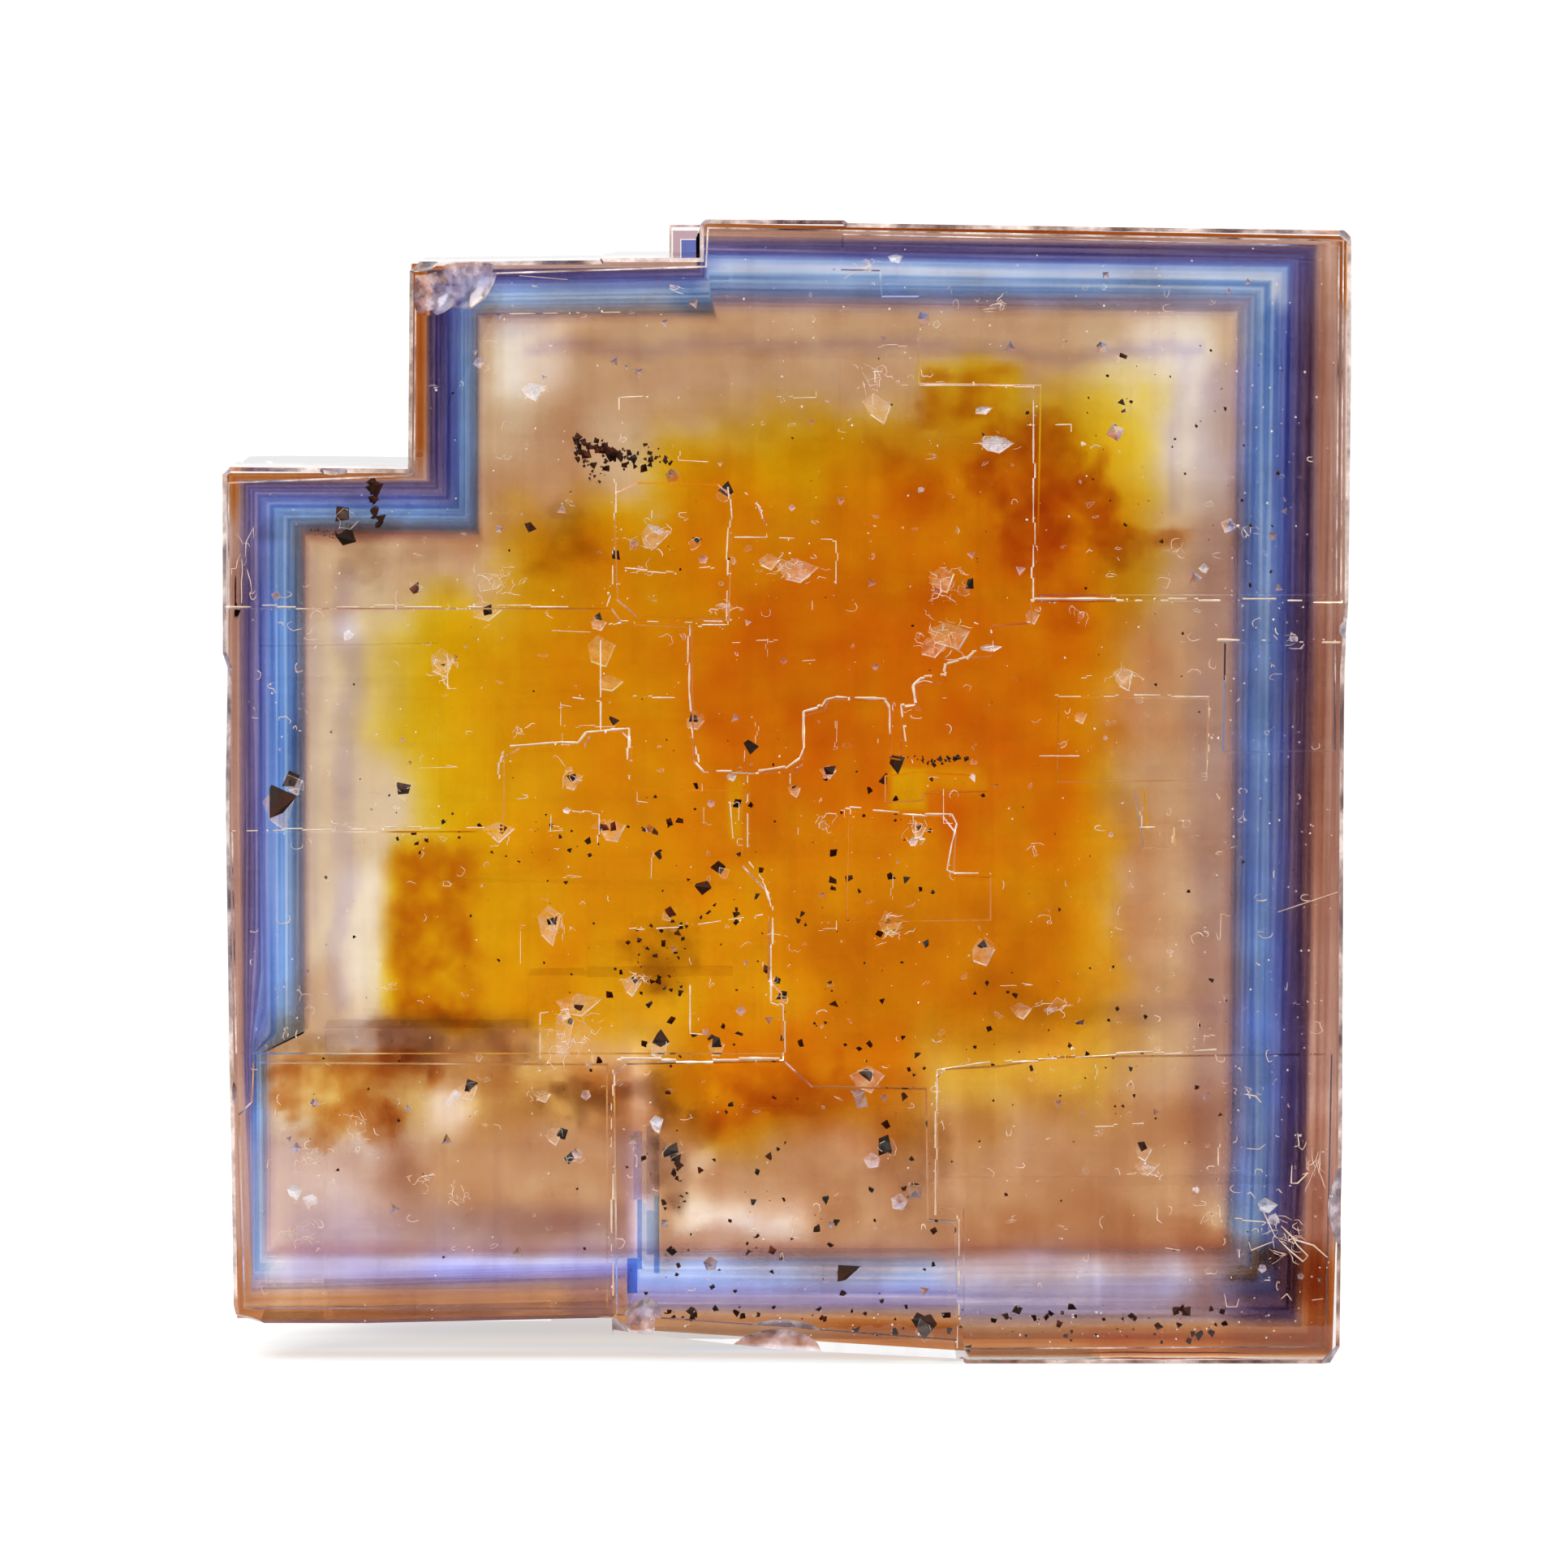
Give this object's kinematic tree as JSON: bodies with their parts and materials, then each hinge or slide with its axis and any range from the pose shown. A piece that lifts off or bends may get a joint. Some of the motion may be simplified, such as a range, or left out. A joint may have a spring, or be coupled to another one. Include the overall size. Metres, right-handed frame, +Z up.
{
  "type": "fluorite specimen",
  "caption": "Transparent colour-zoned fluorite: parallel intergrown cubes with stepped faces and chipped edges, standing on its foot.",
  "frame": {"origin": "centre of the crystal's bounding box in X and Y, at the level of the foot that it stands on", "axes": "+Z up, -Y towards the viewer out of the show face, +X to the right across the show face"},
  "size_m": [0.061, 0.033, 0.0621],
  "materials": {
    "fluorite": "clear vitreous fluorite, zoned from amber in the middle to blue, violet and pinkish brown at the rim"
  },
  "bodies": {
    "root": {"fluorite_crystal": "fluorite"}
  },
  "joints": []
}
